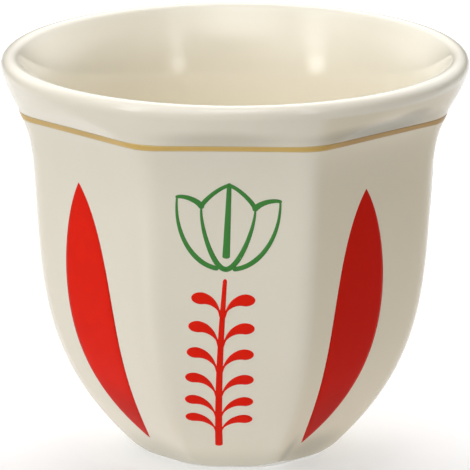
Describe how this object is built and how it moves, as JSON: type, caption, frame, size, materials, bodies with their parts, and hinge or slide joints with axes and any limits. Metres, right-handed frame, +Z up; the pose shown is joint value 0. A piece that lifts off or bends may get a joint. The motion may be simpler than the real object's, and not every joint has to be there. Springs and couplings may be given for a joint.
{
  "type": "coffee cup",
  "caption": "Small handleless faceted coffee cup with a flared round lip and a low foot ring, with a thin gold line and red and green flower and leaf motifs.",
  "frame": {"origin": "centre of the foot ring's sole, on the plane that the cup stands on", "axes": "+Z up along the cup's axis; -Y out of the facet with the tulip that faces the viewer in the picture; +X to that viewer's right"},
  "size_m": [0.065, 0.065, 0.0563],
  "materials": {
    "porcelain": "unglazed fired porcelain, satin; shows only on the sole",
    "ivory_glaze": "glossy ivory glaze",
    "gold_line": "fired-on gold colour, semi-gloss",
    "green_enamel": "glossy fired-on enamel",
    "red_enamel": "glossy fired-on enamel"
  },
  "bodies": {
    "root": {"porcelain_body": "porcelain", "glaze_coat": "ivory_glaze", "gold_line": "gold_line", "tulip_front": "green_enamel", "tulip_right": "green_enamel", "tulip_back": "green_enamel", "tulip_left": "green_enamel", "sprig_front": "red_enamel", "sprig_right": "red_enamel", "sprig_back": "red_enamel", "sprig_left": "red_enamel", "leaf_front_right": "red_enamel", "leaf_back_right": "red_enamel", "leaf_back_left": "red_enamel", "leaf_front_left": "red_enamel"}
  },
  "joints": []
}
